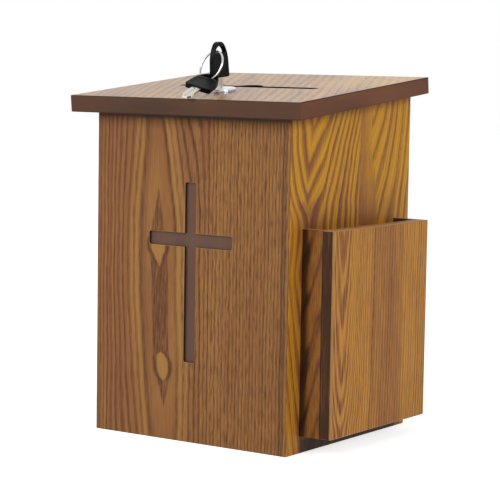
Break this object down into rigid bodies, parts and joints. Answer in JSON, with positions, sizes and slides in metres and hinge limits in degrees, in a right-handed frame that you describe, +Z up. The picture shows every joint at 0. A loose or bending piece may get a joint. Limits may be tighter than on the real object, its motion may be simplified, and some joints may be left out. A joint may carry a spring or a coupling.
{
  "type": "prayer request box",
  "caption": "Wooden request box with a sloping hinged lid, a letter slot, a key lock, a routed cross on the front and an open card pocket on the right side.",
  "frame": {"origin": "middle of the case's footprint on the surface that it stands on; the lid's overhangs and the pocket are not counted", "axes": "+Z up, +Y from the front panel to the back panel, +X to the right as seen from the front, towards the pocket"},
  "size_m": [0.2595, 0.2296, 0.3531],
  "materials": {
    "oak_veneer": "satin lacquer over stained oak veneer",
    "plain_wood": "bare",
    "zinc_steel": "bright zinc plate",
    "chrome_plate": "polished",
    "brass": "turned",
    "black_plastic": "satin moulded",
    "nickel_plate": "nickel plated",
    "bright_steel": "polished wire"
  },
  "bodies": {
    "case": {"front_panel": "oak_veneer", "back_panel": "oak_veneer", "left_panel": "oak_veneer", "right_panel": "oak_veneer", "bottom_panel": "plain_wood", "corner_splines": "plain_wood", "bottom_dowels": "plain_wood", "pocket_panel": "oak_veneer", "pocket_front_end": "oak_veneer", "pocket_rear_end": "oak_veneer", "pocket_bottom": "oak_veneer", "pocket_screws": "zinc_steel", "left_hinge_body_leaf": "zinc_steel", "right_hinge_body_leaf": "zinc_steel", "left_hinge_pin": "zinc_steel", "right_hinge_pin": "zinc_steel", "hinge_body_screws": "zinc_steel", "strike_plate": "zinc_steel", "strike_screws": "zinc_steel"},
    "lid": {"lid_panel": "oak_veneer", "left_hinge_lid_leaf": "zinc_steel", "right_hinge_lid_leaf": "zinc_steel", "hinge_lid_screws": "zinc_steel", "lock_body": "chrome_plate", "lock_washer": "zinc_steel", "lock_nut": "brass"},
    "plug": {"lock_plug": "chrome_plate", "lock_cam": "zinc_steel", "lock_cam_screw": "zinc_steel"},
    "key": {"key_head": "black_plastic", "key_blade": "nickel_plate"},
    "ring": {"key_ring": "bright_steel"},
    "spare_key": {"spare_key_head": "black_plastic", "spare_key_blade": "nickel_plate"}
  },
  "joints": [
    {"name": "lid_hinge", "type": "hinge", "parent": "case", "child": "lid", "pos_m": [0, 0.1025, 0.30926], "axis": [-1, 0, 0], "range_deg": [0, 190]},
    {"name": "key_turn", "type": "hinge", "parent": "lid", "child": "plug", "pos_m": [0, -0.05764, 0.30915], "axis": [0, 0.0958, -0.9954], "range_deg": [0, 90]},
    {"name": "key_pull", "type": "slide", "parent": "plug", "child": "key", "axis": [0, -0.0958, 0.9954], "range_m": [0, 0.014]},
    {"name": "ring_swing", "type": "hinge", "parent": "key", "child": "ring", "pos_m": [0, -0.06627, 0.34448], "axis": [-0.9707, 0.2208, -0.0946], "range_deg": [0, 60]},
    {"name": "spare_swing", "type": "hinge", "parent": "ring", "child": "spare_key", "pos_m": [0.00505, -0.07805, 0.32016], "axis": [-0.9013, 0.0587, -0.4292], "range_deg": [0, 45]}
  ]
}
